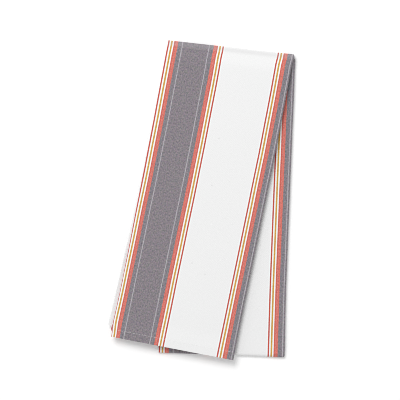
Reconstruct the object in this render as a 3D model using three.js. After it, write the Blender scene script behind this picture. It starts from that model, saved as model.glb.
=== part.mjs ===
// Folded tea towel, in millimetres with +Z up.
//
// The cloth is folded in half lengthwise, in half lengthwise again, and then crosswise in three.
// The first two folds make a strip four plies thick. Its plies lie pressed in pairs, so the strip's
// section is two sheets, each a pair of plies, joined by the fold at the right-hand side.
// The strip then runs back and forth three times: the tucked leg, the bottom leg on the table, and
// the swung leg on top, which is turned aside so that the two legs below it show.
// The whole cloth is one closed solid: the section carried along that path.

import * as THREE from "three";

// Strip section.
const STRIP_WIDTH = 100.4;
const SHEET = 1.0;
const SHEET_GAP = 0.3;
const STRIP_HEIGHT = 2 * SHEET + SHEET_GAP;

// Path of the strip. The two lower legs lie close, and the springy top fold holds the swung leg a
// little above them. A lean is the turn of a leg away from straight down the page, in degrees, and
// a tilt is how far a crosswise line falls towards the right, in degrees.
const LEG_GAP = 0.3;
const SWUNG_LIFT = 1.4;
const TOP_FOLD_TILT = 6.8;
const BOTTOM_FOLD_TILT = 2.15;
const HEM_TILT = 10.3;
const SWUNG_LEG = { length: 240.0, leans: { start: 10.0, middle: 11.7, end: 11.4 } };
const BOTTOM_LEG = { length: 238.2, leans: { start: 3.0, middle: 1.75, end: 1.4 } };
const TUCKED_LEG = { length: 237.3, leans: { start: 1.6, middle: 2.35, end: 2.2 } };

// The top fold is pressed: inside, it reaches only this far past its axis. A fold's squareness is
// the power of its sine and cosine: 1 gives an ellipse, and less gives a squarer bend.
const TOP_FOLD_INNER_REACH = 0.2;
const TOP_FOLD_SQUARENESS = 0.6;

// Unevenness of the hand folding. The strip spreads by a share of its width where the top fold is
// pressed. Towards the hem, the lower sheet fans out from under the upper one.
const FOLD_SPREAD = 0.012;
const FOLD_SPREAD_REACH = 20;
const SELVEDGE_DRIFT = 0.8;
const CORNER_DRAW = 1.4;
const CORNER_REACH = 14;
const LOWER_SHEET_FAN = 0.5;
const FAN_START = 0.55;
const FAN_END = 0.8;
const LOWER_END_SHORT = 8.5;
const SAG_DEPTH = 1.2;
const SAG_REACH = 45;

// The turned and stitched hem, which makes the end of the upper sheet a little thicker.
const HEM_DEPTH = 6.2;
const HEM_RISE = 0.8;
const HEM_SHOULDER = 0.5;

// Smoothness: pieces across a sheet, and steps along each leg and round each fold.
const PIECES_ACROSS = 8;
const ARC_SEGMENTS = 3;
const SWUNG_STEPS = 16;
const LOWER_LEG_STEPS = 10;
const TOP_FOLD_STEPS = 12;
const BOTTOM_FOLD_STEPS = 10;

const CLOTH_COLOUR = 0xefefee;

const radians = THREE.MathUtils.degToRad;
const mix = THREE.MathUtils.lerp;
const ease = THREE.MathUtils.smoothstep;

// Unit vector down the page, turned towards the left by the lean.
function downVector(lean) {
  return new THREE.Vector2(-Math.sin(radians(lean)), -Math.cos(radians(lean)));
}

// Unit vector to the right along a crosswise line with this tilt.
function rightVector(tilt) {
  return new THREE.Vector2(Math.cos(radians(tilt)), -Math.sin(radians(tilt)));
}

// Section of the strip, from its left side to its right: the lower sheet ends at the left in the
// rounded middle fold of the cloth, and the upper sheet in the two selvedges.
function stripSection() {
  const left = -STRIP_WIDTH / 2;
  const right = STRIP_WIDTH / 2 - STRIP_HEIGHT / 2;
  const lowerLeft = left + SHEET / 2;
  const upperUnderside = SHEET + SHEET_GAP;
  const section = new THREE.Shape();
  const lineAcross = (from, to, height) => {
    for (let piece = 1; piece <= PIECES_ACROSS; piece += 1) {
      section.lineTo(mix(from, to, piece / PIECES_ACROSS), height);
    }
  };
  section.moveTo(lowerLeft, 0);
  lineAcross(lowerLeft, right, 0);
  section.absarc(right, STRIP_HEIGHT / 2, STRIP_HEIGHT / 2, -Math.PI / 2, Math.PI / 2, false);
  lineAcross(right, left, STRIP_HEIGHT);
  section.lineTo(left, upperUnderside);
  lineAcross(left, right, upperUnderside);
  section.absarc(right, STRIP_HEIGHT / 2, SHEET_GAP / 2, Math.PI / 2, -Math.PI / 2, true);
  lineAcross(right, lowerLeft, SHEET);
  section.absarc(lowerLeft, SHEET / 2, SHEET / 2, Math.PI / 2, Math.PI * 1.5, false);
  return section;
}

// Heights of the strip's inner face on each leg. On the bottom leg the outer face lies on the table.
const bottomInnerFace = STRIP_HEIGHT;
const tuckedInnerFace = bottomInnerFace + LEG_GAP;
const swungInnerFace = tuckedInnerFace + STRIP_HEIGHT + SWUNG_LIFT;

// The folds' axes. A height in the section is measured from the strip's inner face, so each fold
// reaches that height further than its inner face does, outwards and up or down.
const topFold = {
  tilt: TOP_FOLD_TILT,
  middle: new THREE.Vector2(0, 0),
  squareness: TOP_FOLD_SQUARENESS,
  innerReach: TOP_FOLD_INNER_REACH,
  innerRise: (swungInnerFace - bottomInnerFace) / 2,
  axisHeight: (swungInnerFace + bottomInnerFace) / 2,
};
const bottomFold = {
  tilt: BOTTOM_FOLD_TILT,
  squareness: 1,
  innerReach: LEG_GAP / 2,
  innerRise: (tuckedInnerFace - bottomInnerFace) / 2,
  axisHeight: (tuckedInnerFace + bottomInnerFace) / 2,
};

// A strip that turns over at a slant also moves along the fold's axis while it goes round.
const slant = SWUNG_LEG.leans.start - TOP_FOLD_TILT;
const turnLength = (Math.PI * (topFold.innerReach + topFold.innerRise + STRIP_HEIGHT)) / 2;
topFold.slip = turnLength * Math.tan(radians(slant));

// Mean lean of a leg's middle line from its start to here. The lean itself follows a parabola
// through its values at the leg's start, middle and end.
function meanLean(leans, along) {
  const curve = 2 * (leans.start + leans.end - 2 * leans.middle);
  const turn = leans.end - leans.start - curve;
  return leans.start + (turn * along) / 2 + (curve * along * along) / 3;
}

// Plan position on a leg. Its crosswise lines turn evenly from the tilt at its start to the tilt
// at its end.
function planOnLeg(leg, across, along) {
  const lean = meanLean(leg.leans, along);
  const middle = downVector(lean).multiplyScalar(leg.direction * leg.length * along);
  const crosswise = rightVector(mix(leg.tiltAtStart, leg.tiltAtEnd, along)).multiplyScalar(across);
  return leg.start.clone().add(middle).add(crosswise);
}

const swungLeg = {
  ...SWUNG_LEG,
  start: topFold.middle,
  direction: 1,
  tiltAtStart: TOP_FOLD_TILT,
  tiltAtEnd: HEM_TILT,
};
const bottomLeg = {
  ...BOTTOM_LEG,
  start: topFold.middle.clone().add(rightVector(TOP_FOLD_TILT).multiplyScalar(topFold.slip)),
  direction: 1,
  tiltAtStart: TOP_FOLD_TILT,
  tiltAtEnd: BOTTOM_FOLD_TILT,
};
bottomFold.middle = planOnLeg(bottomLeg, 0, 1);
const tuckedLeg = {
  ...TUCKED_LEG,
  start: bottomFold.middle,
  direction: -1,
  tiltAtStart: BOTTOM_FOLD_TILT,
  tiltAtEnd: TOP_FOLD_TILT,
};

// How far the swung leg sinks where it reaches past the left side of the legs under it.
function sagAt(plan) {
  const legRight = rightVector(meanLean(BOTTOM_LEG.leans, 1));
  const fromMiddle = plan.clone().sub(bottomLeg.start).dot(legRight);
  return SAG_DEPTH * ease(-fromMiddle - STRIP_WIDTH / 2, 0, SAG_REACH);
}

// The upper sheet's selvedges draw in towards each open end of the strip.
function driftedAcross(across, height, towardsEnd) {
  const inUpperSheet = height > STRIP_HEIGHT / 2;
  const fromRight = 0.5 - across / STRIP_WIDTH;
  return inUpperSheet ? across + SELVEDGE_DRIFT * fromRight * ease(towardsEnd, 0, 1) : across;
}

// How much wider the strip is at this distance from the top fold.
function spreadAt(distance) {
  return 1 + FOLD_SPREAD * (1 - ease(distance, 0, FOLD_SPREAD_REACH));
}

// On the swung leg the lower sheet fans out at the left, and the upper sheet's corner draws in.
function fannedAcross(across, height, along) {
  const fromRight = 0.5 - across / STRIP_WIDTH;
  if (height < STRIP_HEIGHT / 2) {
    return across - LOWER_SHEET_FAN * fromRight * ease(along, FAN_START, FAN_END);
  }
  const distance = along * SWUNG_LEG.length;
  const nearHem = ease(distance, SWUNG_LEG.length - CORNER_REACH, SWUNG_LEG.length);
  const corner = CORNER_DRAW * ease(fromRight, 1 - CORNER_REACH / STRIP_WIDTH, 1) * nearHem;
  return driftedAcross(across, height, along) + corner;
}

function placeOnTuckedLeg(across, height, along) {
  const plan = planOnLeg(tuckedLeg, driftedAcross(across, height, 1 - along), along);
  return new THREE.Vector3(plan.x, plan.y, tuckedInnerFace + height);
}

function placeOnBottomLeg(across, height, along) {
  const spread = across * spreadAt(along * BOTTOM_LEG.length);
  const plan = planOnLeg(bottomLeg, driftedAcross(spread, height, along), along);
  return new THREE.Vector3(plan.x, plan.y, bottomInnerFace - height);
}

function placeOnSwungLeg(across, height, along) {
  const inLowerSheet = height < STRIP_HEIGHT / 2;
  const fromRight = 0.5 - across / STRIP_WIDTH;
  const shortBy = inLowerSheet ? LOWER_END_SHORT * fromRight : 0;
  const reach = along * (1 - shortBy / SWUNG_LEG.length);
  const spread = across * spreadAt(along * SWUNG_LEG.length);
  const plan = planOnLeg(swungLeg, fannedAcross(spread, height, along), reach);
  const hemStart = SWUNG_LEG.length - HEM_DEPTH;
  const hemShare = ease(along * SWUNG_LEG.length, hemStart - HEM_SHOULDER, hemStart);
  const rise = (HEM_RISE * hemShare * height) / STRIP_HEIGHT;
  return new THREE.Vector3(plan.x, plan.y, swungInnerFace + height + rise - sagAt(plan));
}

// Round a fold, from its upper leg at angle 0 to its lower leg at angle pi. Its side is 1 for a
// fold at the bottom of the page and -1 for one at the top.
function placeOnFold(fold, side, across, height, angle) {
  const sine = Math.sin(angle) ** fold.squareness;
  const cosine = Math.sign(Math.cos(angle)) * Math.abs(Math.cos(angle)) ** fold.squareness;
  const reach = side * (fold.innerReach + height) * sine;
  const crosswise = rightVector(fold.tilt).multiplyScalar(across);
  const outward = downVector(fold.tilt).multiplyScalar(reach);
  const plan = fold.middle.clone().add(crosswise).add(outward);
  const rise = (fold.innerRise + height) * cosine;
  return new THREE.Vector3(plan.x, plan.y, fold.axisHeight + rise);
}

// From the tucked leg above to the bottom leg below.
function placeOnBottomFold(across, height, along) {
  return placeOnFold(bottomFold, 1, driftedAcross(across, height, 1), height, Math.PI * along);
}

// From the bottom leg below to the swung leg above.
function placeOnTopFold(across, height, along) {
  const shifted = across * spreadAt(0) + topFold.slip * (1 - along);
  return placeOnFold(topFold, -1, shifted, height, Math.PI * (1 - along));
}

// The path in order. On the two lower legs it runs against the direction that they are laid in.
const PATH = [
  { place: placeOnTuckedLeg, from: 1, to: 0, steps: LOWER_LEG_STEPS },
  { place: placeOnBottomFold, from: 0, to: 1, steps: BOTTOM_FOLD_STEPS },
  { place: placeOnBottomLeg, from: 1, to: 0, steps: LOWER_LEG_STEPS },
  { place: placeOnTopFold, from: 0, to: 1, steps: TOP_FOLD_STEPS },
  { place: placeOnSwungLeg, from: 0, to: 1, steps: SWUNG_STEPS, hem: true },
];

// Stations along the path, one for each step of the extrusion. The hem adds its own two.
function pathStations() {
  const stations = [{ place: PATH[0].place, along: PATH[0].from }];
  for (const stretch of PATH) {
    const marks = [];
    for (let step = 1; step <= stretch.steps; step += 1) {
      marks.push(mix(stretch.from, stretch.to, step / stretch.steps));
    }
    if (stretch.hem) {
      marks.push(1 - (HEM_DEPTH + HEM_SHOULDER) / SWUNG_LEG.length);
      marks.push(1 - HEM_DEPTH / SWUNG_LEG.length);
      marks.sort((a, b) => a - b);
    }
    for (const along of marks) {
      stations.push({ place: stretch.place, along });
    }
  }
  return stations;
}

// The cloth: the section is extruded one unit for each station, and each of its points is then
// placed at that station of the path.
function foldedCloth() {
  const stations = pathStations();
  const lastStation = stations.length - 1;
  const geometry = new THREE.ExtrudeGeometry(stripSection(), {
    depth: lastStation,
    steps: lastStation,
    curveSegments: ARC_SEGMENTS,
    bevelEnabled: false,
  });
  const position = geometry.getAttribute("position");
  for (let index = 0; index < position.count; index += 1) {
    const station = stations[Math.round(position.getZ(index))];
    const point = station.place(position.getX(index), position.getY(index), station.along);
    position.setXYZ(index, point.x, point.y, point.z);
  }
  geometry.computeBoundingBox();
  const box = geometry.boundingBox;
  geometry.translate(-(box.min.x + box.max.x) / 2, -(box.min.y + box.max.y) / 2, -box.min.z);
  geometry.computeVertexNormals();
  return geometry;
}

const cloth = new THREE.Mesh(
  foldedCloth(),
  new THREE.MeshStandardMaterial({ color: CLOTH_COLOUR, roughness: 0.9, metalness: 0 }),
);
cloth.name = "folded_cloth";

const group = new THREE.Group();
group.add(cloth);

export default group;
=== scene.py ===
"""Folded tea towel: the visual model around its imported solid.

One cut of plain-woven cotton, folded in half lengthwise twice and then crosswise in three, with the
last third swung aside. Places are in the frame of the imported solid, and lengths are in metres, except
in the section on materials, which counts in millimetres.
"""

import math

import bmesh
import bpy
from bpy.props import FloatProperty, FloatVectorProperty, PointerProperty
from mathutils import Matrix, Vector, noise


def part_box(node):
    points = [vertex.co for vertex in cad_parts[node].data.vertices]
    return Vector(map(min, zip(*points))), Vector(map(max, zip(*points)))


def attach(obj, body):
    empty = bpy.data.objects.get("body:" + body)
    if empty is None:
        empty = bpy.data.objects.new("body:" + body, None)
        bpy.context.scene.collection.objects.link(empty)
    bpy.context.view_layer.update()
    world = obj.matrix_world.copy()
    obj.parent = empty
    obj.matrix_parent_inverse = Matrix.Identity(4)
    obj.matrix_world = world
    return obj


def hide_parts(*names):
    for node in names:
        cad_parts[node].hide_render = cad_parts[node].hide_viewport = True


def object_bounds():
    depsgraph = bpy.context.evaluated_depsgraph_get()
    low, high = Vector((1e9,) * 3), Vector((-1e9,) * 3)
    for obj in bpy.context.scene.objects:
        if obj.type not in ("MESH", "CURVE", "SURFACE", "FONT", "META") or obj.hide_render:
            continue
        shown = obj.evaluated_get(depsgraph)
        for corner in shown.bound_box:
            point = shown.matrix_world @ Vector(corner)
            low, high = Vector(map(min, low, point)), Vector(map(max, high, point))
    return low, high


bl_info = {
    "name": "Folded Tea Towel",
    "version": (1, 0, 0),
    "blender": (4, 5, 0),
    "location": "3D View > Sidebar > Tea Towel",
    "description": "Builds a striped cotton tea towel, folded and laid on a pale table",
    "category": "Add Mesh",
}

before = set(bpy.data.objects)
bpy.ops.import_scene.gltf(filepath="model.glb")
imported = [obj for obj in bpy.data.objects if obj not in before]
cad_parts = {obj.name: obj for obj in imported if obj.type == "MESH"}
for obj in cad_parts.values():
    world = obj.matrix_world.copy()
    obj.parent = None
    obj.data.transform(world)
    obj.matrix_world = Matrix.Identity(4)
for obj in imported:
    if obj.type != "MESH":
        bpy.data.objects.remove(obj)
CAD_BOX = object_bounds()
TOWEL_TOP = CAD_BOX[1][2]

MM = 0.001
NODE = "folded_cloth"
BODY = "root"
FLAT_MAP = "flat_cloth"


def linear(hex_colour):
    """A colour written as sRGB hex, as the linear values that a shader takes."""
    channels = [int(hex_colour[start:start + 2], 16) / 255 for start in (1, 3, 5)]
    return [c / 12.92 if c <= 0.04045 else ((c + 0.055) / 1.055) ** 2.4 for c in channels]


def mix(start, end, share):
    """The value that lies this share of the way from start to end."""
    return start + (end - start) * share


def ease(value, start, end):
    """0 at start and 1 at end, with a level beginning and finish."""
    share = min(max((value - start) / (end - start), 0.0), 1.0)
    return share * share * (3 - 2 * share)


# ---------------------------------------------------------------------------------------------
# Settings
# ---------------------------------------------------------------------------------------------


def length_property(name, description, default):
    """A length that a user may change."""
    return FloatProperty(name=name, description=description, default=default, unit="LENGTH", precision=5)


def colour_property(name, description, hex_colour):
    """A colour that a user may change, given as sRGB hex."""
    return FloatVectorProperty(
        name=name, description=description, default=linear(hex_colour), size=3, subtype="COLOR", min=0, max=1
    )


def angle_property(name, description, degrees):
    """An angle that a user may change, given in degrees."""
    return FloatProperty(name=name, description=description, default=math.radians(degrees), subtype="ANGLE")


def level_property(name, description, default):
    """A level of light that a user may change."""
    return FloatProperty(name=name, description=description, default=default, min=0)


class TowelSizes(bpy.types.PropertyGroup):
    """Sizes of the towel and its folds."""

    flat_width: length_property("Flat width", "Width of the cloth, from selvedge to selvedge", 398.4 * MM)
    strip_width: length_property("Strip width", "Width of the folded strip", 100.0 * MM)
    ply: length_property("Ply", "Thickness of one ply of pressed cotton", 0.4 * MM)
    hem_ply: length_property("Hem thickness", "Thickness of the turned and stitched hem", 0.75 * MM)
    hem_depth: length_property("Hem depth", "Depth of the turned hem", 6.2 * MM)
    hem_shoulder: length_property("Hem shoulder", "Slope from the hem down to the cloth", 2.0 * MM)
    seam_depth: length_property("Seam depth", "Distance from the hem's edge to its stitching", 6.0 * MM)
    hem_rise: length_property("Hem rise", "How much the four hems thicken the end of the strip", 0.8 * MM)
    leg_gap: length_property("Leg gap", "Air between the bottom leg and the tucked leg", 0.3 * MM)
    swung_lift: length_property("Swung lift", "Air between the tucked leg and the swung leg", 1.4 * MM)
    swung_length: length_property("Swung leg", "Length of the top leg, from its fold to its hem", 239.8 * MM)
    bottom_length: length_property("Bottom leg", "Length of the leg on the table", 238.5 * MM)
    tucked_length: length_property("Tucked leg", "Length of the leg in the middle of the stack", 237.6 * MM)
    stitch_length: length_property("Stitch length", "Length of one stitch of the hem with its gap", 2.4 * MM)
    stitch_gap: length_property("Stitch gap", "Gap where the thread dips through the cloth", 0.2 * MM)
    thread: length_property("Thread", "Thickness of the sewing thread", 0.16 * MM)


class TowelColours(bpy.types.PropertyGroup):
    """Colours of the yarns."""

    ground: colour_property("Ground", "Plain ground of the cloth", "#F4F4F4")
    bleached: colour_property("Bleached", "Bleached yarns between the coloured lines", "#F9FFFF")
    grey: colour_property("Grey", "Chambray of the wide bands", "#8A8389")
    slate: colour_property("Slate", "Bluer yarns at the borders of the wide bands", "#868389")
    pin: colour_property("Pin line", "Pale line in the wide bands", "#B4B1B6")
    coral: colour_property("Coral", "Middle of the coral stripe", "#DA7F76")
    coral_inner: colour_property("Inner coral", "Coral yarns next to the wide band", "#DE786B")
    coral_outer: colour_property("Outer coral", "Coral yarns next to the ground", "#D2685C")
    gold: colour_property("Gold", "Gold line", "#D2A147")
    red: colour_property("Red", "Red line", "#C65244")
    # Painted sheen and shade: this grey is mixed in beside the top fold, making dyed cloth paler and white
    # cloth greyer there.
    painted_fold_tone: colour_property("Painted fold tone", "Painted sheen and shade along the pressed fold", "#C2C0C2")
    thread: colour_property("Thread", "Sewing thread of the hems", "#F8F7F8")


class StageSettings(bpy.types.PropertyGroup):
    """Light, floor and camera."""

    frame_width: length_property("Frame width", "Width of the picture at the towel", 316 * MM)
    lens: FloatProperty(name="Lens", description="Focal length", default=250, min=20, unit="CAMERA")
    lamp_distance: length_property("Lamp distance", "Distance of the lamp from the towel", 2.6)
    lamp_size: length_property("Lamp size", "Width of the lamp's soft box", 1.4)
    lamp_height: angle_property("Lamp height", "Angle of the lamp above the table", 56)
    lamp_side: angle_property("Lamp side", "Turn of the lamp to the left of +Y", 30)
    lamp_level: level_property("Lamp level", "Share of a white surface's light that the lamp gives", 0.44)
    sky_level: level_property("Sky level", "Light that comes evenly from all around", 0.56)
    floor_glow: level_property("Floor glow", "The floor's own light, which keeps it white in view", 0.11)
    floor: colour_property("Floor", "Colour that the floor lends to the light", "#F4F4F4")


# ---------------------------------------------------------------------------------------------
# Shape of the folded cloth
# ---------------------------------------------------------------------------------------------

# The strip's four plies, by the height of their middles over the strip's inner face. The top ply
# is the one on the strip's outer face. It and the second ply are the strip's upper pair, and the
# third and bottom plies its lower pair.
TOP_PLY = 2.05 * MM
SECOND_PLY = 1.5 * MM
THIRD_PLY = 0.8 * MM
BOTTOM_PLY = 0.25 * MM
STRIP_HEIGHT = 2.3 * MM
FOLD_BULGE = STRIP_HEIGHT / 2
MIDDLE_FOLD_REACH = -0.1 * MM

# Turns of the legs, in degrees. A lean is a leg's turn away from -Y, towards -X, and a tilt is how
# far a crosswise line falls towards -Y on its way to the right, which is +X.
TOP_FOLD_TILT = 6.4
BOTTOM_FOLD_TILT = 2.15
HEM_TILT = 10.95
SWUNG_LEANS = {"start": 10.0, "middle": 11.7, "end": 11.4}
BOTTOM_LEANS = {"start": 3.0, "middle": 1.75, "end": 1.4}
TUCKED_LEANS = {"start": 1.6, "middle": 2.35, "end": 2.2}

# The top fold is pressed: inside, it reaches only this far past its axis. A fold's squareness is
# the power of its sine and cosine: 1 gives an ellipse, and less gives a squarer bend.
TOP_FOLD_INNER_REACH = 0.2 * MM
TOP_FOLD_SQUARENESS = 0.6

# The next values are the unevenness of folding by hand. One that ends in START or END is a share of
# a leg's length, counted from the top fold.

# The strip is pushed a little to the right where the top fold is pressed.
FOLD_PUSH_LEFT = 0.15 * MM
FOLD_PUSH_RIGHT = 0.5 * MM
FOLD_PUSH_REACH = 8 * MM

# Its right edge flares at each leg's far end.
FLARE = 0.4 * MM
FLARE_START = 0.78
SWUNG_FLARE_REACH = 16 * MM
LOWER_FLARE_REACH = 4 * MM

# The selvedges of the upper pair draw in towards that end, most of all at the swung leg's corner.
SELVEDGE_DRIFT = 0.6 * MM
SELVEDGE_INSET = 0.4 * MM
SELVEDGE_INSET_REACH = 12 * MM
CORNER_DRAW = 1.0 * MM
CORNER_REACH = 14 * MM

# On the swung leg the lower pair fans out at the left, from under the upper pair.
LOWER_PAIR_FAN = 1.0 * MM
FAN_START = 0.55
FAN_END = 0.8
CORNER_FAN = 0.9 * MM
CORNER_FAN_START = 0.82

# The lower pair ends short at the left and hangs a little, at its folded edge and at its end. The
# folded edge springs back up, and the strip's right-hand fold holds the end.
LOWER_END_SHORT = 8.5 * MM
LOWER_DROOP = 2.4 * MM
LOWER_DROOP_REACH = 9 * MM
EDGE_SPRING = 1.8 * MM
EDGE_SPRING_REACH = 2.6 * MM
HELD_REACH = 40 * MM

# The swung leg's selvedge rolls under.
ROLL = 0.85 * MM
ROLL_DROP = 0.5 * MM
ROLL_WIDTH = 1.8 * MM
ROLL_START = 0.4

# The second ply's hem has a small ear at its selvedge. It comes and goes between these shares of
# the hem's depth, counted from the hem's edge.
HEM_EAR = 1.0 * MM
EAR_DROP = 2.2 * MM
EAR_WIDTH = 5 * MM
EAR_COMES = (0.5, 1.0)
EAR_GOES = (1.1, 1.8)

# The four hems thicken the strip's end, and the swung leg sinks where nothing lies under it.
HEM_RISE_REACH = 12 * MM
SAG_DEPTH = 1.2 * MM
SAG_REACH = 45 * MM

# Columns and rows of faces in each stretch of the grid. The row along each hem's edge is narrow, so
# that the edge stays crisp.
CRISP_EDGE = 0.15 * MM
SELVEDGE_ZONE = 3 * MM
SELVEDGE_COLUMNS = 5
TOP_PLY_COLUMNS = 64
HIDDEN_PLY_COLUMNS = 24
OUTER_FOLD_COLUMNS = 10
INNER_FOLD_COLUMNS = 6
HEM_ROWS = 5
SWUNG_ROWS = 100
TOP_FOLD_ROWS = 18
BOTTOM_LEG_ROWS = 30
BOTTOM_FOLD_ROWS = 12
TUCKED_ROWS = 60

# Two places on the flat cloth that are closer than this are the same.
SAME_PLACE = 0.02 * MM


def level_run(height, start, end):
    """A level run of a path, as a function of the share along it."""
    return lambda share: Vector((start, height)).lerp(Vector((end, height)), share)


def half_turn(centre, radius, start_angle, turn):
    """A half circle of a path, as a function of the share along it."""

    def point(share):
        angle = start_angle + turn * share
        return centre + radius * Vector((math.cos(angle), math.sin(angle)))

    return point


def down(lean):
    """Unit vector towards -Y, turned towards -X by the lean."""
    return Vector((-math.sin(math.radians(lean)), -math.cos(math.radians(lean))))


def right(tilt):
    """Unit vector to the right along a crosswise line with this tilt."""
    return Vector((math.cos(math.radians(tilt)), -math.sin(math.radians(tilt))))


def mean_lean(leans, along):
    """Mean lean of a leg up to here. The lean follows a parabola through its three values."""
    curve = 2 * (leans["start"] + leans["end"] - 2 * leans["middle"])
    turn = leans["end"] - leans["start"] - curve
    return leans["start"] + turn * along / 2 + curve * along * along / 3


def section_stretches(sizes):
    """Stretches of the cloth's width through the strip's section, from the top ply's selvedge."""
    left = -sizes.strip_width / 2
    turn = sizes.strip_width / 2 - FOLD_BULGE
    outer_radius = (TOP_PLY - BOTTOM_PLY) / 2
    inner_radius = (SECOND_PLY - THIRD_PLY) / 2
    middle_radius = (THIRD_PLY - BOTTOM_PLY) / 2
    middle_turn = left - MIDDLE_FOLD_REACH + middle_radius + sizes.ply / 2
    outer_centre = Vector((turn, (TOP_PLY + BOTTOM_PLY) / 2))
    middle_centre = Vector((middle_turn, (THIRD_PLY + BOTTOM_PLY) / 2))
    inner_centre = Vector((turn, (SECOND_PLY + THIRD_PLY) / 2))
    zone = SELVEDGE_ZONE
    quarter = math.pi / 2
    outer_turn = half_turn(outer_centre, outer_radius, quarter, -math.pi)
    middle_fold = half_turn(middle_centre, middle_radius, -quarter, -math.pi)
    inner_turn = half_turn(inner_centre, inner_radius, -quarter, math.pi)
    stretches = [
        # length, columns of faces, path
        (zone, SELVEDGE_COLUMNS, level_run(TOP_PLY, left, left + zone)),
        (turn - left - zone, TOP_PLY_COLUMNS, level_run(TOP_PLY, left + zone, turn)),
        (math.pi * outer_radius, OUTER_FOLD_COLUMNS, outer_turn),
        (turn - middle_turn, HIDDEN_PLY_COLUMNS, level_run(BOTTOM_PLY, turn, middle_turn)),
        (math.pi * middle_radius, INNER_FOLD_COLUMNS, middle_fold),
        (turn - middle_turn, HIDDEN_PLY_COLUMNS, level_run(THIRD_PLY, middle_turn, turn)),
        (math.pi * inner_radius, INNER_FOLD_COLUMNS, inner_turn),
    ]
    # The second ply takes what is left of the cloth's width.
    second_length = sizes.flat_width - sum(length for length, *_ in stretches)
    second_run = level_run(SECOND_PLY, turn, turn - second_length)
    return [*stretches, (second_length, HIDDEN_PLY_COLUMNS, second_run)]


class Leg:
    """A straight leg of the strip in plan."""

    def __init__(self, start, direction, length, leans, tilts):
        self.start = start
        self.direction = direction
        self.length = length
        self.leans = leans
        self.tilts = tilts

    def plan(self, across, along):
        """Plan place of a point. The crosswise lines turn evenly along the leg."""
        middle = down(mean_lean(self.leans, along)) * (self.direction * self.length * along)
        return self.start + middle + right(mix(self.tilts[0], self.tilts[1], along)) * across


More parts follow.
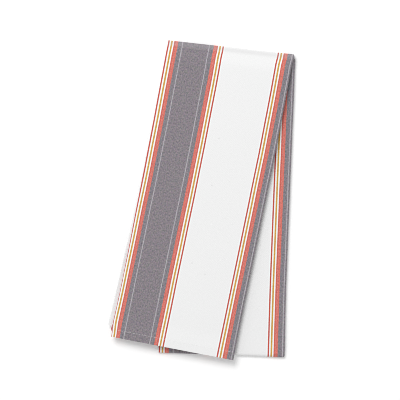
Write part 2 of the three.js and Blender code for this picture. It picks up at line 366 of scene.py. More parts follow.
class Folding:
    """Places a point of the strip, given across, over its inner face and along its path."""

    def __init__(self, sizes):
        self.sizes = sizes
        self.bottom_face = STRIP_HEIGHT
        self.tucked_face = self.bottom_face + sizes.leg_gap
        self.swung_face = self.tucked_face + STRIP_HEIGHT + sizes.swung_lift
        self.stack_height = self.swung_face + STRIP_HEIGHT
        self.top_rise = (self.swung_face - self.bottom_face) / 2
        self.top_axis = (self.swung_face + self.bottom_face) / 2
        self.bottom_inner = (self.tucked_face - self.bottom_face) / 2
        self.bottom_axis = (self.tucked_face + self.bottom_face) / 2
        turn_length = math.pi * (TOP_FOLD_INNER_REACH + self.top_rise + STRIP_HEIGHT) / 2
        self.slip = turn_length * math.tan(math.radians(SWUNG_LEANS["start"] - TOP_FOLD_TILT))
        top_start = Vector((0, 0))
        tilts = (TOP_FOLD_TILT, BOTTOM_FOLD_TILT)
        self.swung = Leg(top_start, 1, sizes.swung_length, SWUNG_LEANS, (TOP_FOLD_TILT, HEM_TILT))
        bottom_start = top_start + right(TOP_FOLD_TILT) * self.slip
        self.bottom = Leg(bottom_start, 1, sizes.bottom_length, BOTTOM_LEANS, tilts)
        self.bottom_middle = self.bottom.plan(0, 1)
        self.tucked = Leg(self.bottom_middle, -1, sizes.tucked_length, TUCKED_LEANS, tilts[::-1])
        bottom_turn = math.pi * (self.bottom_inner + STRIP_HEIGHT / 2)
        hem_marks = (
            # distance from the hem's edge, rows of faces up to there
            (CRISP_EDGE, 1),
            (sizes.seam_depth, HEM_ROWS),
            (sizes.hem_depth, 1),
            (sizes.hem_depth + sizes.hem_shoulder, 1),
        )
        self.stretches = [
            # length, rows of faces, place on the path, share at the stretch's start and end
            *self.leg_stretches(self.on_tucked, sizes.tucked_length, hem_marks, TUCKED_ROWS),
            (bottom_turn, BOTTOM_FOLD_ROWS, self.on_bottom_fold, 0, 1),
            (sizes.bottom_length, BOTTOM_LEG_ROWS, self.on_bottom, 1, 0),
            (turn_length, TOP_FOLD_ROWS, self.on_top_fold, 0, 1),
            *(
                (length, rows, place, end, start)
                for length, rows, place, start, end in reversed(
                    self.leg_stretches(self.on_swung, sizes.swung_length, hem_marks, SWUNG_ROWS)
                )
            ),
        ]
        self.flat_length = sum(length for length, *_ in self.stretches)

    def leg_stretches(self, place, leg_length, hem_marks, rows):
        """Stretches of a leg that ends in a hem, from the hem's edge to the leg's fold."""
        stretches = []
        start = 0
        for end, mark_rows in (*hem_marks, (leg_length, rows)):
            stretches.append((end - start, mark_rows, place, 1 - start / leg_length, 1 - end / leg_length))
            start = end
        return stretches

    def drifted(self, across, height, from_fold):
        """The crosswise place, with the upper pair's selvedges drawn in further from the top fold."""
        if height < STRIP_HEIGHT / 2:
            return across
        from_right = 0.5 - across / self.sizes.strip_width
        return across + SELVEDGE_DRIFT * from_right * ease(from_fold, 0, 1)

    def pushed(self, across, distance):
        """The crosswise place, pushed to the right at this distance from the top fold."""
        from_left = 0.5 + across / self.sizes.strip_width
        push = mix(FOLD_PUSH_LEFT, FOLD_PUSH_RIGHT, from_left)
        return across + push * (1 - ease(distance, 0, FOLD_PUSH_REACH))

    def flare(self, across, from_fold, reach):
        """How far the strip's right edge stands out at a leg's far end."""
        edge = self.sizes.strip_width / 2
        return FLARE * ease(across, edge - reach, edge) * ease(from_fold, FLARE_START, 1)

    def fanned(self, across, height, along):
        """The crosswise place on the swung leg: the lower pair fans out, and the upper one draws in."""
        width = self.sizes.strip_width
        length = self.sizes.swung_length
        from_right = 0.5 - across / width
        if height < STRIP_HEIGHT / 2:
            fan = LOWER_PAIR_FAN * ease(along, FAN_START, FAN_END)
            fan += CORNER_FAN * ease(along, CORNER_FAN_START, 1)
            return across - fan * from_right
        inset = SELVEDGE_INSET * ease(from_right, 1 - SELVEDGE_INSET_REACH / width, 1)
        inset *= ease(along, 0, FAN_START) * (1 - ease(along, CORNER_FAN_START, 1))
        near_left = ease(from_right, 1 - CORNER_REACH / width, 1)
        corner = CORNER_DRAW * near_left * ease(along * length, length - CORNER_REACH, length)
        ear = HEM_EAR * self.ear(across, height, along)
        return self.drifted(across, height, along) + inset + corner - ear

    def ear(self, across, height, along):
        """How far a point belongs to the small ear, where the second ply's hem meets its selvedge."""
        if not STRIP_HEIGHT / 2 < height < (TOP_PLY + SECOND_PLY) / 2:
            return 0
        from_left = across + self.sizes.strip_width / 2
        from_hem = self.sizes.swung_length * (1 - along)
        depths = from_hem / self.sizes.hem_depth
        at_edge = 1 - ease(from_left, EAR_WIDTH / 2, EAR_WIDTH)
        return at_edge * ease(depths, *EAR_COMES) * (1 - ease(depths, *EAR_GOES))

    def sag(self, plan):
        """How far the swung leg sinks where it reaches past the left side of the legs under it."""
        aside = (plan - self.bottom.start).dot(right(mean_lean(BOTTOM_LEANS, 1)))
        return SAG_DEPTH * ease(-aside - self.sizes.strip_width / 2, 0, SAG_REACH)

    def droop(self, across, height, along):
        """How far the lower pair hangs from the upper pair, at its folded edge and at its end."""
        if height > STRIP_HEIGHT / 2:
            return 0
        from_left = across + self.sizes.strip_width / 2
        sprung = EDGE_SPRING / LOWER_DROOP * max(1 - from_left / EDGE_SPRING_REACH, 0)
        hanging = 1 - ease(from_left, EDGE_SPRING_REACH, LOWER_DROOP_REACH) - sprung
        at_edge = hanging * ease(along, FAN_START, FAN_END)
        from_end = self.sizes.swung_length * (1 - along)
        held = ease(from_left, self.sizes.strip_width - HELD_REACH, self.sizes.strip_width)
        at_end = (1 - ease(from_end, 0, LOWER_DROOP_REACH)) * (1 - held)
        return LOWER_DROOP * max(at_edge, at_end)

    def on_tucked(self, across, height, along):
        """Place of a point of the tucked leg."""
        flared = across + self.flare(across, 1 - along, LOWER_FLARE_REACH)
        plan = self.tucked.plan(self.drifted(flared, height, 1 - along), along)
        return Vector((*plan, self.tucked_face + height))

    def on_bottom(self, across, height, along):
        """Place of a point of the bottom leg, which lies with its outer face down."""
        pushed = self.pushed(across, along * self.sizes.bottom_length)
        pushed += self.flare(across, along, LOWER_FLARE_REACH)
        plan = self.bottom.plan(self.drifted(pushed, height, along), along)
        return Vector((*plan, self.bottom_face - height))

    def on_swung(self, across, height, along):
        """Place of a point of the swung leg, with its hem's rise and all that sinks it."""
        sizes = self.sizes
        from_right = 0.5 - across / sizes.strip_width
        short_by = LOWER_END_SHORT * from_right if height < STRIP_HEIGHT / 2 else 0
        reach = along * (1 - short_by / sizes.swung_length)
        pushed = self.pushed(across, along * sizes.swung_length)
        pushed += self.flare(across, along, SWUNG_FLARE_REACH)
        plan = self.swung.plan(self.fanned(pushed, height, along), reach)
        hem_start = sizes.swung_length - sizes.hem_depth
        hem_share = ease(along * sizes.swung_length, hem_start - HEM_RISE_REACH, hem_start)
        rise = sizes.hem_rise * hem_share * height / STRIP_HEIGHT
        sunk = self.sag(plan) + self.droop(across, height, along)
        sunk += EAR_DROP * self.ear(across, height, along)
        return Vector((*plan, self.swung_face + height + rise - sunk))

    def on_bottom_fold(self, across, height, along):
        """Place of a point of the rounded fold between the tucked leg and the bottom leg."""
        angle = math.pi * along
        radius = self.bottom_inner + height
        flared = across + self.flare(across, 1, LOWER_FLARE_REACH)
        crosswise = right(BOTTOM_FOLD_TILT) * self.drifted(flared, height, 1)
        plan = self.bottom_middle + crosswise + down(BOTTOM_FOLD_TILT) * (radius * math.sin(angle))
        return Vector((*plan, self.bottom_axis + radius * math.cos(angle)))

    def on_top_fold(self, across, height, along):
        """Place of a point of the pressed, slanted fold between the bottom leg and the swung leg."""
        angle = math.pi * (1 - along)
        sine = math.sin(angle) ** TOP_FOLD_SQUARENESS
        cosine = math.copysign(abs(math.cos(angle)) ** TOP_FOLD_SQUARENESS, math.cos(angle))
        crosswise = right(TOP_FOLD_TILT) * (self.pushed(across, 0) + self.slip * (1 - along))
        plan = crosswise - down(TOP_FOLD_TILT) * ((TOP_FOLD_INNER_REACH + height) * sine)
        return Vector((*plan, self.top_axis + (self.top_rise + height) * cosine))


# Soft unevenness of the stack: how much each wave lifts or presses its top, and its length.
WAVES = (
    {"depth": 0.30 * MM, "length": 70 * MM, "seed": 3.7},
    {"depth": 0.10 * MM, "length": 24 * MM, "seed": 11.3},
)

# Sideways wander of the plies: its depth, and its length across and along the cloth.
EDGE_WAVE = {"depth": 0.18 * MM, "across": 80 * MM, "along": 32 * MM, "seed": 5.1}

# Away from the top fold the two lower legs are pressed flatter, and close to it the whole stack is.
LOWER_PRESS = 0.24
LOWER_PRESS_REACH = 9 * MM
FOLD_PRESS = 0.30
FOLD_PRESS_REACH = 16 * MM


def wave(plan, share_of_height):
    """Lift of a point of the stack. It grows with height, so that no ply passes through another."""
    lift = 0
    for row in WAVES:
        spot = Vector((plan.x, plan.y, 0)) / row["length"]
        lift += row["depth"] * noise.noise(spot + Vector((0, 0, row["seed"])))
    return lift * share_of_height


def settle(folding, point, under_share):
    """The point after the stack has settled: pressed flatter, and softly uneven."""
    inside = point.xy.dot(down(TOP_FOLD_TILT)) + TOP_FOLD_INNER_REACH + STRIP_HEIGHT
    press = FOLD_PRESS * (1 - ease(inside, 0, FOLD_PRESS_REACH))
    press += LOWER_PRESS * under_share * ease(inside, 0, LOWER_PRESS_REACH)
    height = point.z * (1 - press)
    return Vector((point.x, point.y, height + wave(point, point.z / folding.stack_height)))


def edge_shift(width_position, length_position):
    """Small sideways wander of a point's crosswise place."""
    across = width_position / EDGE_WAVE["across"]
    along = length_position / EDGE_WAVE["along"]
    return EDGE_WAVE["depth"] * noise.noise(Vector((across, along, EDGE_WAVE["seed"])))


def grid_marks(stretches):
    """Each grid line's flat position, stretch and share, from a list whose rows start length, pieces."""
    marks = [(0.0, stretches[0], 0.0)]
    start = 0.0
    for stretch in stretches:
        length, pieces = stretch[0], stretch[1]
        for piece in range(1, pieces + 1):
            marks.append((start + length * piece / pieces, stretch, piece / pieces))
        start += length
    return marks


def build_cloth(sizes):
    """The flat cloth as a grid, folded along the path. Returns its mesh and the folding."""
    folding = Folding(sizes)
    columns = grid_marks(section_stretches(sizes))
    rows = grid_marks(folding.stretches)
    column_count = len(columns) - 1
    row_count = len(rows) - 1
    bm = bmesh.new()
    bmesh.ops.create_grid(bm, x_segments=column_count, y_segments=row_count, size=0.5)
    flat_layer = bm.loops.layers.uv.new(FLAT_MAP)
    flat = {}
    for vertex in bm.verts:
        column = columns[round((vertex.co.x + 0.5) * column_count)]
        row = rows[round((vertex.co.y + 0.5) * row_count)]
        width_position, across_stretch, across_share = column
        length_position, along_stretch, along_share = row
        across, height = across_stretch[2](across_share)
        place, start, end = along_stretch[2:]
        along = mix(start, end, along_share)
        point = place(across + edge_shift(width_position, length_position), height, along)
        under_share = 1
        if place == folding.on_top_fold:
            under_share = 1 - along
        elif place == folding.on_swung:
            under_share = 0
            rolled = 1 - ease(width_position, 0, ROLL_WIDTH)
            roll = ROLL * ease(along, ROLL_START, FAN_END)
            point += Vector((*(right(HEM_TILT) * roll), -ROLL_DROP)) * rolled
        flat[vertex] = (width_position, length_position)
        vertex.co = settle(folding, point, under_share)
    for face in bm.faces:
        for loop in face.loops:
            width_position, length_position = flat[loop.vert]
            loop[flat_layer].uv = (
                width_position / folding.flat_length,
                length_position / folding.flat_length,
            )
    mesh = bpy.data.meshes.new("tea_towel")
    bm.to_mesh(mesh)
    bm.free()
    return mesh, folding


def centre_in_box(points):
    """The shift that stands these points on the table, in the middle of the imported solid's box."""
    low = Vector(map(min, *points))
    high = Vector(map(max, *points))
    node_low, node_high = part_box(NODE)
    shift = (node_low + node_high - low - high) / 2
    shift.z = -low.z
    return shift


def grid_line(mesh, flat_length, length_position):
    """The cloth's points along one crosswise grid line, with their flat distance from the selvedge."""
    flat = mesh.uv_layers[FLAT_MAP].data
    points = {}
    for loop in mesh.loops:
        width_position, along = flat[loop.index].uv * flat_length
        if abs(along - length_position) < SAME_PLACE:
            points[round(width_position, 6)] = mesh.vertices[loop.vertex_index].co
    return sorted(points.items())


def point_on_line(line, width_position):
    """The point of a grid line at this flat distance from the selvedge."""
    for (near, near_point), (far, far_point) in zip(line, line[1:]):
        if near <= width_position <= far:
            return near_point.lerp(far_point, (width_position - near) / (far - near))
    raise ValueError("The grid line doesn't reach that far")


# The seam starts this far from the selvedge.
SEAM_START = 1.0 * MM


def add_stitch(bm, start, end, thread, side):
    """One stitch of thread, lying on the cloth: a slim rounded body, half sunk."""
    run = end - start
    along = run.normalized()
    up = Vector((0, 0, side))
    turn = Matrix((along, up.cross(along), up)).transposed().to_4x4()
    size = Matrix.Diagonal((run.length / 2, thread / 2, thread / 2, 1))
    place = Matrix.Translation((start + end) / 2)
    bmesh.ops.create_icosphere(bm, subdivisions=2, radius=1, matrix=place @ turn @ size)


def build_seam(sizes, mesh, flat_length):
    """The stitches across the swung leg's hem, on its upper side and on its underside."""
    line = grid_line(mesh, flat_length, flat_length - sizes.seam_depth)
    ply_end = sizes.strip_width - FOLD_BULGE
    faces = (
        # flat start, flat end, side
        (SEAM_START, ply_end, 1),
        (sizes.strip_width + FOLD_BULGE, 2 * ply_end, -1),
    )
    run = sizes.stitch_length - sizes.stitch_gap
    bm = bmesh.new()
    for start, end, side in faces:
        lift = Vector((0, 0, side * sizes.hem_ply / 2))
        for index in range(int((end - start) / sizes.stitch_length)):
            position = start + index * sizes.stitch_length
            first = point_on_line(line, position) + lift
            last = point_on_line(line, position + run) + lift
            add_stitch(bm, first, last, sizes.thread, side)
    for face in bm.faces:
        face.smooth = True
    seam = bpy.data.meshes.new("hem_stitches")
    bm.to_mesh(seam)
    bm.free()
    return seam


# ---------------------------------------------------------------------------------------------
# Materials
# ---------------------------------------------------------------------------------------------


def add_node(tree, kind, inputs=None, **settings):
    """A node with its settings, and values or links for its inputs."""
    node = tree.nodes.new(kind)
    for name, value in settings.items():
        setattr(node, name, value)
    for key, value in (inputs or {}).items():
        if isinstance(value, bpy.types.NodeSocket):
            tree.links.new(value, node.inputs[key])
        else:
            node.inputs[key].default_value = value
    return node


def new_material(name):
    """A material with an empty node tree, and the tree."""
    material = bpy.data.materials.new(name)
    material.use_nodes = True
    material.node_tree.nodes.clear()
    return material, material.node_tree


# The cloth's material counts in millimetres, and so does this whole section. The first wide band's
# middle lies this far from the selvedge, and the others lie a period apart, as far in as the cloth's
# plain middle.
BAND_MIDDLE = 22.25
BAND_PERIOD = 86.6
PLAIN_FROM = 150

# The narrow stripes beside a wide band all lie between these two distances from its middle, which
# the colour ramps span.
STRIPES_FROM = 9.0
STRIPES_TO = 24.0

# Flecks are a little longer along the cloth than across it, and a fifth of each is hue, since warp
# and weft are dyed a little apart. They come from a noise between 0 and 1, which is darkest at the
# low value and palest at the high one.
FLECK_STRETCH = (1.0, 0.7, 1.0)
FLECK_HUE = 0.22
FLECK_LOW = 0.28
FLECK_HIGH = 0.72

# Husk specks: how far apart they lie, how far from a speck's middle it fades and ends, and its tone.
HUSK_APART = 35
HUSK_FADES = 0.28
HUSK_ENDS = 0.77
HUSK_TONE = 0.86

# Painted sheen and shade beside the pressed fold: how far from the fold it starts to fade, where it is gone,
# and its share.
PAINTED_TONE_FROM = 0.6
PAINTED_TONE_TO = 2.6
PAINTED_TONE_SHARE = 0.2

# The weave's relief: its spacing, its height, and how much a fleck adds to it. The real threads lie
# closer than this spacing, which is as fine as still shows.
THREAD_SPACING = 0.8
WEAVE_RELIEF = 0.06
FLECK_RELIEF = 1.5


def stripe_rows(colours):
    """Where each stripe starts from the middle of its band, its yarn, and how mottled it is."""
    return (
        # start, colour, mottling
        (0.0, colours.grey, 0.43),
        (10.15, colours.pin, 0.25),
        (10.86, colours.grey, 0.43),
        (11.9, colours.slate, 0.43),
        (14.04, colours.coral_inner, 0.28),
        (15.1, colours.coral, 0.34),
        (16.3, colours.coral_outer, 0.26),
        (17.33, colours.bleached, 0.01),
        (18.4, colours.gold, 0.2),
        (19.74, colours.bleached, 0.01),
        (20.87, colours.red, 0.16),
        (22.05, colours.bleached, 0.01),
        (22.95, colours.ground, 0.01),
    )


def fill_ramp(ramp, stops):
    """Sets a ramp's bands from rows of where each starts, in millimetres, and its colour."""
    ramp.interpolation = "CONSTANT"
    while len(ramp.elements) > 1:
        ramp.elements.remove(ramp.elements[-1])
    ramp.elements[0].position = 0
    ramp.elements[0].color = (*stops[0][1], 1)
    for start, colour in stops[1:]:
        position = (start - STRIPES_FROM) / (STRIPES_TO - STRIPES_FROM)
        ramp.elements.new(position).color = (*colour, 1)


def add_stripes(tree, across, flat_width, colours):
    """The yarns' colours, and how mottled each is, mirrored about the cloth's centre line."""
    half_width = flat_width / MM / 2
    mirrored = add_node(tree, "ShaderNodeMath", {0: across, 1: half_width}, operation="PINGPONG")
    from_band = add_node(
        tree, "ShaderNodeMath", {0: mirrored.outputs[0], 1: BAND_MIDDLE}, operation="SUBTRACT"
    )
    repeated = add_node(
        tree, "ShaderNodeMath", {0: from_band.outputs[0], 1: BAND_PERIOD / 2}, operation="PINGPONG"
    )
    plain = add_node(
        tree, "ShaderNodeMath", {0: mirrored.outputs[0], 1: PLAIN_FROM}, operation="GREATER_THAN"
    )
    plain_far = add_node(
        tree, "ShaderNodeMath", {0: plain.outputs[0], 1: BAND_PERIOD / 2}, operation="MULTIPLY"
    )
    distance = add_node(
        tree, "ShaderNodeMath", {0: repeated.outputs[0], 1: plain_far.outputs[0]}, operation="MAXIMUM"
    )
    place = add_node(
        tree,
        "ShaderNodeMapRange",
        {0: distance.outputs[0], 1: STRIPES_FROM, 2: STRIPES_TO, 3: 0.0, 4: 1.0},
    )
    rows = stripe_rows(colours)
    stripe = add_node(tree, "ShaderNodeValToRGB", {0: place.outputs[0]})
    fill_ramp(stripe.color_ramp, [(start, colour) for start, colour, _ in rows])
    mottling = add_node(tree, "ShaderNodeValToRGB", {0: place.outputs[0]})
    fill_ramp(mottling.color_ramp, [(start, [amount] * 3) for start, _, amount in rows])
    return stripe.outputs[0], mottling.outputs[0]


def add_flecks(tree, in_mm, stripe, mottling):
    """The stripes with flecks, 1 by 1.4 mm, where a thick place in one yarn covers the other."""
    place = add_node(tree, "ShaderNodeVectorMath", {0: in_mm, 1: FLECK_STRETCH}, operation="MULTIPLY")
    fleck = add_node(
        tree,
        "ShaderNodeTexNoise",
        {"Vector": place.outputs[0], "Scale": 1.0, "Detail": 2.0, "Roughness": 0.6},
    )
    hue = add_node(
        tree,
        "ShaderNodeMix",
        {0: FLECK_HUE, 4: fleck.outputs["Fac"], 5: fleck.outputs["Color"]},
        data_type="VECTOR",
    )
    spread = add_node(
        tree,
        "ShaderNodeMapRange",
        {
            6: hue.outputs[1],
            7: (FLECK_LOW,) * 3,
            8: (FLECK_HIGH,) * 3,
            9: (-1.0,) * 3,
            10: (1.0,) * 3,
        },
        data_type="FLOAT_VECTOR",
    )
    depth = add_node(
        tree,
        "ShaderNodeVectorMath",
        {0: spread.outputs[1], 1: mottling, 2: (1.0, 1.0, 1.0)},
        operation="MULTIPLY_ADD",
    )
    flecked = add_node(
        tree, "ShaderNodeVectorMath", {0: stripe, 1: depth.outputs[0]}, operation="MULTIPLY"
    )
    return flecked.outputs[0], fleck.outputs[0]


def add_husks(tree, in_mm, colour):
    """The colour with a few faint specks of cotton husk, about 1 mm across."""
    husk = add_node(
        tree, "ShaderNodeTexVoronoi", {"Vector": in_mm, "Scale": 1 / HUSK_APART}, voronoi_dimensions="2D"
    )
    fades, ends = HUSK_FADES / HUSK_APART, HUSK_ENDS / HUSK_APART
    tone = add_node(
        tree, "ShaderNodeMapRange", {0: husk.outputs["Distance"], 1: fades, 2: ends, 3: HUSK_TONE, 4: 1.0}
    )
    specked = add_node(
        tree, "ShaderNodeVectorMath", {0: colour, "Scale": tone.outputs[0]}, operation="SCALE"
    )
    return specked.outputs[0]


def add_painted_fold_tone(tree, along, colour, crease, fold_tone_colour):
    """The colour with painted sheen and shade beside a pressed fold: dyed cloth is painted a little paler
    there, and white cloth greyer.
    """
    from_crease = add_node(tree, "ShaderNodeMath", {0: along, 1: crease / MM}, operation="SUBTRACT")
    off_crease = add_node(tree, "ShaderNodeMath", {0: from_crease.outputs[0]}, operation="ABSOLUTE")
    painted_fold_tone = add_node(
        tree,
        "ShaderNodeMapRange",
        {0: off_crease.outputs[0], 1: PAINTED_TONE_FROM, 2: PAINTED_TONE_TO, 3: PAINTED_TONE_SHARE, 4: 0.0},
    )
    fold_toned = add_node(
        tree, "ShaderNodeMix", {0: painted_fold_tone.outputs[0], 6: colour, 7: (*fold_tone_colour, 1)}, data_type="RGBA"
    )
    return fold_toned.outputs[2]


def add_weave(tree, across, along, fleck):
    """The surface's normal, with the relief of a plain weave and of its thick places."""
    sines = []
    for place in (across, along):
        angle = add_node(
            tree, "ShaderNodeMath", {0: place, 1: math.pi / THREAD_SPACING}, operation="MULTIPLY"
        )
        sines.append(add_node(tree, "ShaderNodeMath", {0: angle.outputs[0]}, operation="SINE").outputs[0])
    weave = add_node(tree, "ShaderNodeMath", {0: sines[0], 1: sines[1]}, operation="MULTIPLY")
    relief = add_node(
        tree, "ShaderNodeMath", {0: fleck, 1: FLECK_RELIEF, 2: weave.outputs[0]}, operation="MULTIPLY_ADD"
    )
    bump = add_node(
        tree,
        "ShaderNodeBump",
        {"Strength": 0.35, "Distance": WEAVE_RELIEF * MM, "Height": relief.outputs[0]},
    )
    return bump.outputs[0]


def cotton_material(colours, flat_length, flat_width, crease):
    """Plain-woven cotton, yarn dyed: matt, with flecks of warp and weft, the weave's fine relief, and
    painted sheen and shade beside the top fold.
    """
    material, tree = new_material("plain_woven_cotton_yarn_dyed")
    flat = add_node(tree, "ShaderNodeUVMap", uv_map=FLAT_MAP)
    in_mm = add_node(
        tree, "ShaderNodeVectorMath", {0: flat.outputs[0], "Scale": flat_length / MM}, operation="SCALE"
    ).outputs[0]
    parts = add_node(tree, "ShaderNodeSeparateXYZ", {0: in_mm})
    across, along = parts.outputs["X"], parts.outputs["Y"]
    stripe, mottling = add_stripes(tree, across, flat_width, colours)
    flecked, fleck = add_flecks(tree, in_mm, stripe, mottling)
    specked = add_husks(tree, in_mm, flecked)
    cloth = add_node(
        tree,
        "ShaderNodeBsdfPrincipled",
        {
            # The base colour carries painted sheen and shade beside the top fold.
            "Base Color": add_painted_fold_tone(tree, along, specked, crease, colours.painted_fold_tone),
            "Roughness": 0.9,
            "Specular IOR Level": 0.2,
            "Sheen Weight": 0.08,
            "Sheen Roughness": 0.5,
            "Normal": add_weave(tree, across, along, fleck),
        },
    )
    add_node(tree, "ShaderNodeOutputMaterial", {"Surface": cloth.outputs[0]})
    return material


def thread_material(colours):
    """Spun sewing thread: matt, with a little relief and shade of its twist, under 1 mm long."""
    material, tree = new_material("spun_cotton_sewing_thread")
    place = add_node(tree, "ShaderNodeTexCoord")
    twist = add_node(
        tree, "ShaderNodeTexNoise", {"Vector": place.outputs["Object"], "Scale": 1500.0, "Detail": 1.0}
    )
    tone = add_node(
        tree, "ShaderNodeMapRange", {"Value": twist.outputs[0], "To Min": 0.85, "To Max": 1.08}
    )
    tinted = add_node(
        tree,
        "ShaderNodeVectorMath",
        {0: tuple(colours.thread), "Scale": tone.outputs[0]},
        operation="SCALE",
    )
    bump = add_node(
        tree, "ShaderNodeBump", {"Strength": 0.3, "Distance": 0.05 * MM, "Height": twist.outputs[0]}
    )
    thread = add_node(
        tree,
        "ShaderNodeBsdfPrincipled",
        {"Base Color": tinted.outputs[0], "Roughness": 0.8, "Normal": bump.outputs[0]},
    )
    add_node(tree, "ShaderNodeOutputMaterial", {"Surface": thread.outputs[0]})
    return material


def seen_plainly(tree):
    """1 for the rays that show the white background itself, and 0 for those that carry its light."""
    path = add_node(tree, "ShaderNodeLightPath")
    seen = path.outputs["Is Camera Ray"]
    for kind in ("Is Glossy Ray", "Is Transmission Ray"):
        seen = add_node(
            tree, "ShaderNodeMath", {0: seen, 1: path.outputs[kind]}, operation="MAXIMUM"
        ).outputs[0]
    return seen


def floor_material(stage):
    """Matt white paper: seen by the camera it is plain white, and it keeps the towel's shadow."""
    material, tree = new_material("matt_white_paper")
    seen = seen_plainly(tree)
    colour = add_node(
        tree, "ShaderNodeMix", {0: seen, 6: (*stage.floor, 1), 7: (1, 1, 1, 1)}, data_type="RGBA"
    )
    paper = add_node(tree, "ShaderNodeBsdfDiffuse", {"Color": colour.outputs[2]})
    lift = add_node(tree, "ShaderNodeMath", {0: seen, 1: stage.floor_glow}, operation="MULTIPLY")
    glow = add_node(tree, "ShaderNodeEmission", {"Color": (1, 1, 1, 1), "Strength": lift.outputs[0]})
    both = add_node(tree, "ShaderNodeAddShader", {0: paper.outputs[0], 1: glow.outputs[0]})
    add_node(tree, "ShaderNodeOutputMaterial", {"Surface": both.outputs[0]})
    return material


# ---------------------------------------------------------------------------------------------
# Operators
# ---------------------------------------------------------------------------------------------


def add_object(context, name, data):
    """An object at the origin, linked to the scene."""
    made = bpy.data.objects.new(name, data)
    context.scene.collection.objects.link(made)
    return made


def thicken(cloth, sizes, flat_length):
    """Gives the cloth its thickness. The hems are turned twice, so it is thicker there."""
    flat = cloth.data.uv_layers[FLAT_MAP].data
    hem_share = (sizes.hem_depth + SAME_PLACE) / flat_length
    hem_vertices = set()
    for loop in cloth.data.loops:
        if not hem_share < flat[loop.index].uv.y < 1 - hem_share:
            hem_vertices.add(loop.vertex_index)
    group = cloth.vertex_groups.new(name="thickness")
    group.add(list(range(len(cloth.data.vertices))), sizes.ply / sizes.hem_ply, "REPLACE")
    group.add(sorted(hem_vertices), 1.0, "REPLACE")
    thickness = cloth.modifiers.new("thickness", "SOLIDIFY")
    thickness.thickness = sizes.hem_ply
    thickness.offset = 0
    thickness.vertex_group = group.name
    thickness.use_even_offset = False


class TOWEL_OT_fold_cloth(bpy.types.Operator):
    """Make the towel: one cloth, folded twice lengthwise and then in three"""

    bl_idname = "tea_towel.fold_cloth"
    bl_label = "Fold Cloth"

    def execute(self, context):
        settings = context.scene.tea_towel
        sizes = settings.sizes
        mesh, folding = build_cloth(sizes)
        shift = centre_in_box([vertex.co.copy() for vertex in mesh.vertices])
        shift.z += sizes.ply / 2
        mesh.transform(Matrix.Translation(shift))
        mesh.polygons.foreach_set("use_smooth", [True] * len(mesh.polygons))
        flat_length = folding.flat_length
        crease = flat_length - sizes.swung_length
        mesh.materials.append(cotton_material(settings.colours, flat_length, sizes.flat_width, crease))
        cloth = add_object(context, "tea_towel", mesh)
        thicken(cloth, sizes, flat_length)
        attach(cloth, BODY)
        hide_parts(NODE)
        return {"FINISHED"}


class TOWEL_OT_stitch_hems(bpy.types.Operator):
    """Sew the hem of the top leg, on its upper side and on its underside"""

    bl_idname = "tea_towel.stitch_hems"
    bl_label = "Stitch Hems"

    def execute(self, context):
        cloth = bpy.data.objects.get("tea_towel")
        if cloth is None:
            raise RuntimeError("The hems can't be stitched before the cloth is folded")
        settings = context.scene.tea_towel
        sizes = settings.sizes
        flat_length = Folding(sizes).flat_length
        seam = build_seam(sizes, cloth.data, flat_length)
        seam.materials.append(thread_material(settings.colours))
        stitches = add_object(context, "hem_stitches", seam)
        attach(stitches, BODY)
        return {"FINISHED"}


# The camera and the lamp point at this place on the table, beside the middle of the towel.
LOOKED_AT = Vector((-1.45 * MM, 0.14 * MM, 0))

# The floor reaches this far from the towel, and lies this much under it.
FLOOR_REACH = 30
FLOOR_BELOW = 0.02 * MM


def add_floor(context, stage):
    """A wide table top, a hair under the towel."""
    bm = bmesh.new()
    bmesh.ops.create_grid(bm, x_segments=1, y_segments=1, size=FLOOR_REACH)
    bmesh.ops.translate(bm, vec=(0, 0, -FLOOR_BELOW), verts=bm.verts)
    mesh = bpy.data.meshes.new("table_top")
    bm.to_mesh(mesh)
    bm.free()
    mesh.materials.append(floor_material(stage))
    add_object(context, "table_top", mesh)


def add_lamp(context, stage):
    """A round soft box, high up past the top fold and a little to the left."""
    sideways = Vector((-math.sin(stage.lamp_side), math.cos(stage.lamp_side), 0))
    towards_lamp = sideways * math.cos(stage.lamp_height) + Vector((0, 0, math.sin(stage.lamp_height)))
    data = bpy.data.lights.new("soft_box", "AREA")
    data.shape = "DISK"
    data.size = stage.lamp_size
    # An area lamp of power P gives P / (pi * distance**2) to a surface that faces it, and a white
    # surface sends back that over pi.
    level = stage.lamp_level * (math.pi * stage.lamp_distance) ** 2
    data.energy = level / math.sin(stage.lamp_height)
    lamp = add_object(context, "soft_box", data)
    lamp.location = LOOKED_AT + towards_lamp * stage.lamp_distance
    lamp.rotation_euler = towards_lamp.to_track_quat("Z", "Y").to_euler()


def add_sky(context, stage):
    """Even light from all around, which is plain white where it shows."""
    world = bpy.data.worlds.new("studio")
    world.use_nodes = True
    tree = world.node_tree
    tree.nodes.clear()
    strength = add_node(
        tree, "ShaderNodeMix", {0: seen_plainly(tree), 2: stage.sky_level, 3: 1.0}, data_type="FLOAT"
    )
    sky = add_node(
        tree, "ShaderNodeBackground", {"Color": (1, 1, 1, 1), "Strength": strength.outputs[0]}
    )
    add_node(tree, "ShaderNodeOutputWorld", {"Surface": sky.outputs[0]})
    context.scene.world = world


def add_camera(context, stage):
    """The camera, straight above the towel."""
    data = bpy.data.cameras.new("camera")
    data.lens = stage.lens
    # Far enough to see the whole floor from any side.
    data.clip_end = 100
    distance = stage.frame_width * stage.lens / data.sensor_width
    camera = add_object(context, "camera", data)
    camera.location = LOOKED_AT + Vector((0, 0, distance + TOWEL_TOP / 2))
    context.scene.camera = camera


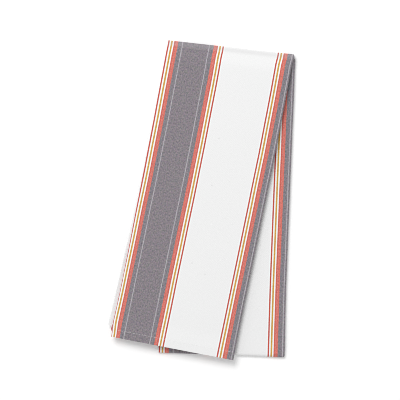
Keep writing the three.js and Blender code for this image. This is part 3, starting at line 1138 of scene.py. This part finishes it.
class TOWEL_OT_set_stage(bpy.types.Operator):
    """Set up the floor, the light and the camera"""

    bl_idname = "tea_towel.set_stage"
    bl_label = "Set Stage"

    def execute(self, context):
        stage = context.scene.tea_towel.stage
        add_floor(context, stage)
        add_lamp(context, stage)
        add_sky(context, stage)
        add_camera(context, stage)
        context.scene.view_settings.view_transform = "Standard"
        # A filter that is narrower than usual keeps the narrow stripes crisp.
        context.scene.cycles.filter_width = 1.0
        return {"FINISHED"}


class TeaTowelSettings(bpy.types.PropertyGroup):
    """All settings of the towel and its stage."""

    sizes: PointerProperty(type=TowelSizes)
    colours: PointerProperty(type=TowelColours)
    stage: PointerProperty(type=StageSettings)


class TOWEL_PT_panel(bpy.types.Panel):
    """Lists the operators and their settings"""

    bl_idname = "TOWEL_PT_panel"
    bl_label = "Tea Towel"
    bl_space_type = "VIEW_3D"
    bl_region_type = "UI"
    bl_category = "Tea Towel"

    def draw(self, context):
        layout = self.layout
        settings = context.scene.tea_towel
        for operator, group in OPERATORS:
            layout.operator(operator.bl_idname)
            box = layout.box()
            values = getattr(settings, group)
            for name in values.__annotations__:
                box.prop(values, name)


OPERATORS = (
    # operator, settings listed below it
    (TOWEL_OT_fold_cloth, "sizes"),
    (TOWEL_OT_stitch_hems, "colours"),
    (TOWEL_OT_set_stage, "stage"),
)
CLASSES = (
    TowelSizes,
    TowelColours,
    StageSettings,
    TeaTowelSettings,
    *(operator for operator, _ in OPERATORS),
    TOWEL_PT_panel,
)


def register():
    """Registers the classes and the scene's settings."""
    for item in CLASSES:
        bpy.utils.register_class(item)
    bpy.types.Scene.tea_towel = PointerProperty(type=TeaTowelSettings)


def unregister():
    """Removes what register() adds."""
    del bpy.types.Scene.tea_towel
    for item in reversed(CLASSES):
        bpy.utils.unregister_class(item)


def main():
    """Builds the stage, the towel and its stitches."""
    register()
    bpy.ops.tea_towel.set_stage()
    bpy.ops.tea_towel.fold_cloth()
    bpy.ops.tea_towel.stitch_hems()


if __name__ == "__main__":
    main()
